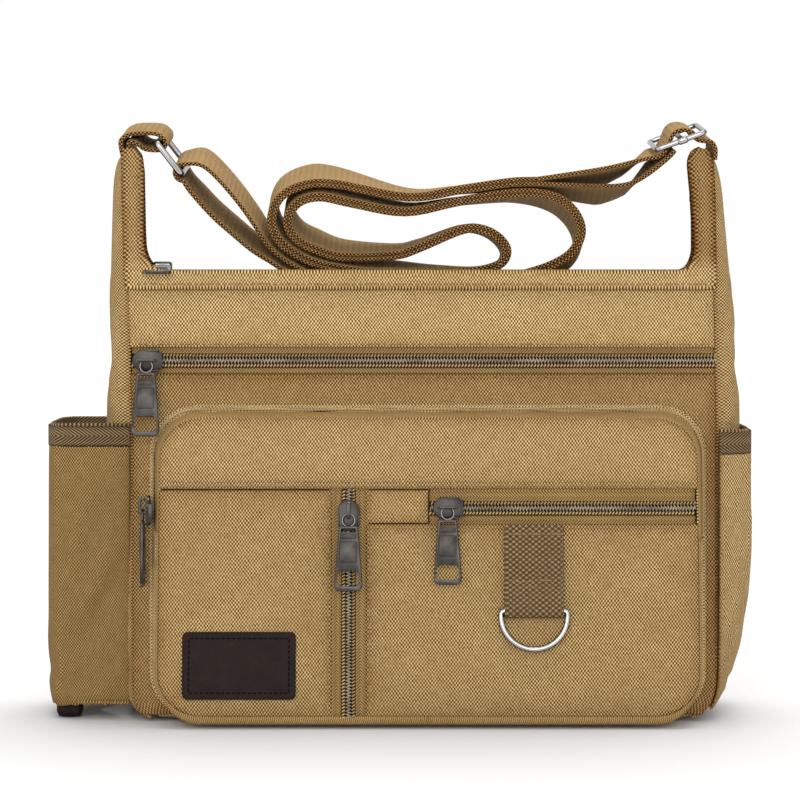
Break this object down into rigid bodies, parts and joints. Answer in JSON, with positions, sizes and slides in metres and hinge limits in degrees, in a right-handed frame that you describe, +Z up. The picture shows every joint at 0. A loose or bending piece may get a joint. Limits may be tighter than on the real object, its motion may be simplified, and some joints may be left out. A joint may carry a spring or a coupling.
{
  "type": "messenger bag",
  "caption": "Canvas messenger bag with zipped pockets, a bottle pocket, a D-ring and a folded adjustable shoulder strap.",
  "frame": {"origin": "centre of the base underside", "axes": "+X to the right seen from the front, front faces -Y, +Z up"},
  "size_m": [0.38, 0.1084, 0.321],
  "materials": {
    "canvas": "coarse plain-weave cotton canvas, khaki",
    "webbing": "flat woven strap webbing with a speckled edge",
    "tab_webbing": "coarse ribbed webbing, grey-brown",
    "zip_tape": "herringbone zip tape",
    "binding": "twill binding tape",
    "zip_coil": "nylon coil, dull bronze",
    "gunmetal": "dark gunmetal plating, satin",
    "nickel": "polished dark nickel",
    "leather": "dark brown leather, fine grain",
    "lining": "thin woven lining"
  },
  "bodies": {
    "bag": {"front_panel": "canvas", "front_top_band": "canvas", "front_facing": "canvas", "back_panel": "canvas", "back_facing": "canvas", "left_gusset": "canvas", "right_gusset": "canvas", "base_panel": "canvas", "front_lining": "lining", "back_lining": "lining", "upper_pocket_lining": "lining", "bottle_pocket_wall": "canvas", "bottle_pocket_binding": "binding", "bottle_pocket_base": "canvas", "bottle_pocket_trim": "leather", "side_pocket_wall": "canvas", "side_pocket_binding": "binding", "top_zip_tape": "zip_tape", "top_zip_coil": "zip_coil", "upper_zip_tape": "zip_tape", "upper_zip_coil": "zip_coil", "box_piping": "binding", "box_gusset": "canvas", "box_zip_tape": "zip_tape", "box_zip_coil": "zip_coil", "box_backing": "lining", "box_yoke": "canvas", "box_face_left": "canvas", "box_filler": "canvas", "patch_pocket": "canvas", "bottom_binding": "binding", "vertical_zip_tape": "zip_tape", "vertical_zip_coil": "zip_coil", "horizontal_zip_tape": "zip_tape", "horizontal_zip_coil": "zip_coil", "leather_patch": "leather", "d_ring_tab": "tab_webbing", "strap_ring_tab": "webbing", "shoulder_strap": "webbing", "strap_ring_end": "webbing", "strap_adjuster_end": "webbing", "strap_adjuster": "nickel"},
    "top_slider": {"top_zip_slider": "gunmetal"},
    "top_puller": {"top_zip_puller": "gunmetal"},
    "upper_slider": {"upper_zip_slider": "gunmetal"},
    "upper_puller": {"upper_zip_puller": "gunmetal"},
    "box_slider": {"box_zip_slider": "gunmetal"},
    "box_puller": {"box_zip_puller": "gunmetal"},
    "vertical_slider": {"vertical_zip_slider": "gunmetal"},
    "vertical_puller": {"vertical_zip_puller": "gunmetal"},
    "horizontal_slider": {"horizontal_zip_slider": "gunmetal"},
    "horizontal_puller": {"horizontal_zip_puller": "gunmetal"},
    "d_ring": {"d_ring": "nickel"},
    "strap_ring": {"strap_ring": "nickel"}
  },
  "joints": [
    {"name": "top_zip_slide", "type": "slide", "parent": "bag", "child": "top_slider", "axis": [1, 0, 0], "range_m": [0, 0.016]},
    {"name": "top_puller_hinge", "type": "hinge", "parent": "top_slider", "child": "top_puller", "pos_m": [-0.142, 0, 0.24395], "axis": [-1, 0, 0], "range_deg": [0, 40]},
    {"name": "upper_zip_slide", "type": "slide", "parent": "bag", "child": "upper_slider", "axis": [1, 0, 0], "range_m": [0, 0.289]},
    {"name": "upper_puller_hinge", "type": "hinge", "parent": "upper_slider", "child": "upper_puller", "pos_m": [-0.1475, -0.03891, 0.19209], "axis": [-1, 0, 0], "range_deg": [0, 150]},
    {"name": "box_zip_slide", "type": "slide", "parent": "bag", "child": "box_slider", "axis": [0, 0.0501, 0.9987], "range_m": [0, 0.028]},
    {"name": "box_puller_hinge", "type": "hinge", "parent": "box_slider", "child": "box_puller", "pos_m": [-0.14875, -0.04732, 0.11351], "axis": [0, 0.9987, -0.0501], "range_deg": [0, 135]},
    {"name": "vertical_zip_slide", "type": "slide", "parent": "bag", "child": "vertical_slider", "axis": [0, -0.1449, -0.9894], "range_m": [0, 0.064]},
    {"name": "vertical_puller_hinge", "type": "hinge", "parent": "vertical_slider", "child": "vertical_puller", "pos_m": [-0.04, -0.05598, 0.112], "axis": [-1, 0, 0], "range_deg": [0, 135]},
    {"name": "horizontal_zip_slide", "type": "slide", "parent": "bag", "child": "horizontal_slider", "axis": [1, 0, 0], "range_m": [0, 0.119]},
    {"name": "horizontal_puller_hinge", "type": "hinge", "parent": "horizontal_slider", "child": "horizontal_puller", "pos_m": [0.012, -0.05708, 0.1156], "axis": [-1, 0, 0], "range_deg": [0, 150]},
    {"name": "d_ring_hinge", "type": "hinge", "parent": "bag", "child": "d_ring", "pos_m": [0.0573, -0.06105, 0.0615], "axis": [-1, 0, 0], "range_deg": [0, 150]},
    {"name": "strap_ring_hinge", "type": "hinge", "parent": "bag", "child": "strap_ring", "pos_m": [-0.1425, -0.00257, 0.31048], "axis": [0, -0.9903, -0.1392], "range_deg": [0, 5]}
  ]
}
